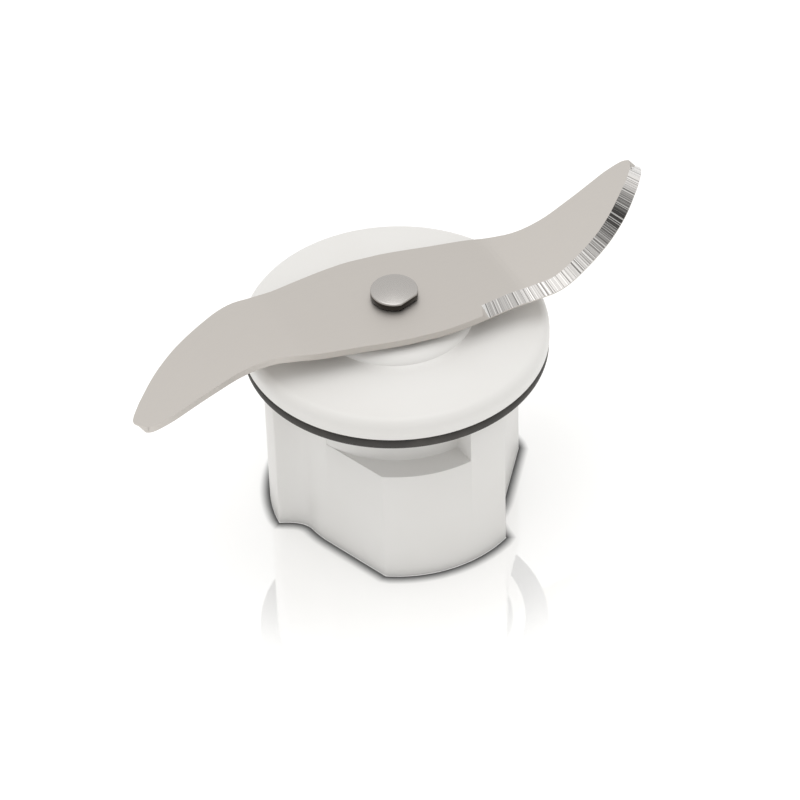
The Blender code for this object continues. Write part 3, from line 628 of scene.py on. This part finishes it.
# ---- blade ----
# One S-shaped cutter stamped from stainless sheet, both wings bent, and each ground on its
# cutting edge across a wheel, which leaves fine scratches square to the edge. The pale and dark
# zones along the edge are a painted reflection, and the scratches are painted pale and near-black.
BLADE_TURN = math.radians(26)
BRUSH_STRETCH = (1, 28, 28)
GRIND_CENTRE = (20 * MM, 38 * MM)
GRIND_RADIUS = 52 * MM
GROUND_TILT = (0.80, 0.965)
EDGE_LENGTH, EDGE_START = 53, 0.11
# Grey levels along the cutting edge: painted reflection bands, with a painted highlight at the root
# and the tip.
EDGE_REFLECTION_TONES = (
    (0.03, 0.45), (0.14, 0.38), (0.28, 0.44), (0.34, 0.62), (0.44, 0.56), (0.54, 0.38),
    (0.62, 0.20), (0.67, 0.07), (0.74, 0.06), (0.80, 0.24), (0.86, 0.50), (0.91, 0.90),
)
EDGE_ROOT_HIGHLIGHT = (0.95, 0.94, 0.93, 1)
EDGE_TIP_HIGHLIGHT = (0.98, 0.97, 0.96, 1)

sheet_steel = Finish("blade_steel", 0.42, 1.0)
along = sheet_steel.place(BRUSH_STRETCH, -BLADE_TURN)
brushed = sheet_steel.noise(330, 3, along)
haze = sheet_steel.noise(60, 3)
sheet_steel.colour(
    sheet_steel.between((0.60, 0.57, 0.535), (0.56, 0.53, 0.50), brushed * 0.5 + haze * 0.5)
)
sheet_steel.rough(0.38 + 0.06 * brushed + 0.08 * haze)
sheet_steel.bump(brushed, 0.004 * MM, 0.5)

ground_steel = Finish("ground_edge", 0.3, 1.0)
wing = ground_steel.place(angle=-BLADE_TURN)
wing_x = ground_steel.node("ShaderNodeSeparateXYZ", {}, {0: wing}, "X")
wing_y = ground_steel.node("ShaderNodeSeparateXYZ", {}, {0: wing}, "Y")
side = wing_x.maths("SIGN", wing_x)
sway = side.maths("ARCTAN2", wing_x * side - GRIND_CENTRE[0], GRIND_CENTRE[1] - wing_y * side)
travel = sway * (GRIND_RADIUS / MM)


def scratches(width, detail=2.0):
    """Streaks square to the cutting edge, each about this many millimetres wide."""
    sockets = {"W": travel * (1 / width), "Scale": 1.0, "Detail": detail, "Roughness": 0.7}
    return ground_steel.node("ShaderNodeTexNoise", {"noise_dimensions": "1D"}, sockets)


fine = scratches(0.42, 3.0)
coarse = scratches(1.6)
along_edge = travel * (1 / EDGE_LENGTH) + coarse * 0.06 + EDGE_START
reflection_bands = ground_steel.node("ShaderNodeValToRGB", {}, {"Fac": along_edge})
ramp = reflection_bands.socket.node.color_ramp
for share, level in EDGE_REFLECTION_TONES:
    stop = ramp.elements.new(share)
    stop.color = (level, level * 0.97, level * 0.94, 1)
ramp.elements[0].color = EDGE_ROOT_HIGHLIGHT
ramp.elements[-1].color = EDGE_TIP_HIGHLIGHT
# The scratch pattern is real grinding; painting its streaks pale and near-black is painted
# reflection.
pale = fine.above(0.53, 0.64) * 0.6
dark = (1 - fine.above(0.37, 0.47)) * 0.7
pale_reflection_streaks = ground_steel.between(reflection_bands, (0.92, 0.91, 0.89), pale)
ground_steel.colour(ground_steel.between(pale_reflection_streaks, (0.06, 0.055, 0.05), dark))
ground_steel.rough(0.22 + 0.22 * fine)
ground_steel.bump(fine, 0.02 * MM, 0.8)

blade = from_solid("s_blade", "blade", 0.3)
blade.data.materials.append(sheet_steel.material)
blade.data.materials.append(ground_steel.material)
for face in blade.data.polygons:
    if GROUND_TILT[0] < abs(face.normal.z) < GROUND_TILT[1]:
        face.material_index = 1
smooth(blade, 14)
only(blade)
even = blade.modifiers.new("even", "WEIGHTED_NORMAL")
even.keep_sharp = True
even.weight = 100
bpy.ops.object.modifier_apply(modifier=even.name)
fit(blade, "rotor", "blade", sheet_steel)

# ---- spindle ----
# The turned steel shaft. Its tang goes up through the blade and is peened over into a
# round head with one flat.
HEAD_EDGE = 0.22 * MM

spindle = from_solid("spindle_shaft", "spindle")
round_edges(spindle, HEAD_EDGE, 3, 50)
smooth(spindle, 36)
fit(spindle, "rotor", "spindle", turned_steel)

# ---- washers ----
# A steel washer under the blade, and two of nylon that take the thrust at the ends
# of the bearing.
WASHER_EDGE = 0.06 * MM

nylon = Finish("natural_nylon", 0.5, Subsurface_Weight=0.1)
milk = nylon.noise(300, 3)
nylon.colour(nylon.between((0.74, 0.71, 0.62), (0.66, 0.62, 0.52), milk))
nylon.rough(0.42 + 0.15 * milk)
nylon.bump(milk, 0.02 * MM, 0.4)

for name, node, slot, finish in (
    ("washer_under_blade", "blade_washer", "bright_steel", turned_steel),
    ("thrust_washer_above", "upper_thrust_washer", "natural_nylon", nylon),
    ("thrust_washer_below", "lower_thrust_washer", "natural_nylon", nylon),
):
    washer = from_solid(name, node)
    round_edges(washer, WASHER_EDGE, 2, 30)
    smooth(washer)
    fit(washer, "rotor", node, finish)

# ---- clip ----
# A spring-steel clip in the shaft's groove, open on one side. It stops the spindle
# from lifting out.
CLIP_EDGE = 0.1 * MM

clip = from_solid("spring_clip", "retaining_clip")
round_edges(clip, CLIP_EDGE, 2, 30)
smooth(clip)
fit(clip, "rotor", "retaining_clip", zinc)

# ---- coupling ----
# The black moulded driver that the motor turns: four dogs round a hub, moulded on a flat-sided
# steel insert, and held on the shaft by a plain nut.
black_plastic = Finish("black_plastic", 0.45)
orange_peel = black_plastic.noise(1500, 3)
rub = black_plastic.noise(120, 5)
wear = rub.above(0.5, 0.8) + orange_peel * 0.2
black_plastic.colour(
    black_plastic.between((0.025, 0.025, 0.027), (0.060, 0.060, 0.062), wear)
)
black_plastic.rough(0.36 + 0.22 * rub + 0.1 * orange_peel)
black_plastic.bump(orange_peel, 0.04 * MM, 0.6)

for name, node, slot, finish, edge in (
    ("dog_coupling", "drive_coupling", "black_plastic", black_plastic, 0.35),
    ("steel_insert", "coupling_insert", "bright_steel", turned_steel, 0.12),
    ("shaft_nut", "coupling_nut", "zinc_steel", zinc, 0.2),
):
    piece = from_solid(name, node)
    round_edges(piece, edge * MM, 3, 40)
    smooth(piece)
    fit(piece, "rotor", node, finish)

# ---- end ----
# Nothing is left selected.
deselect()
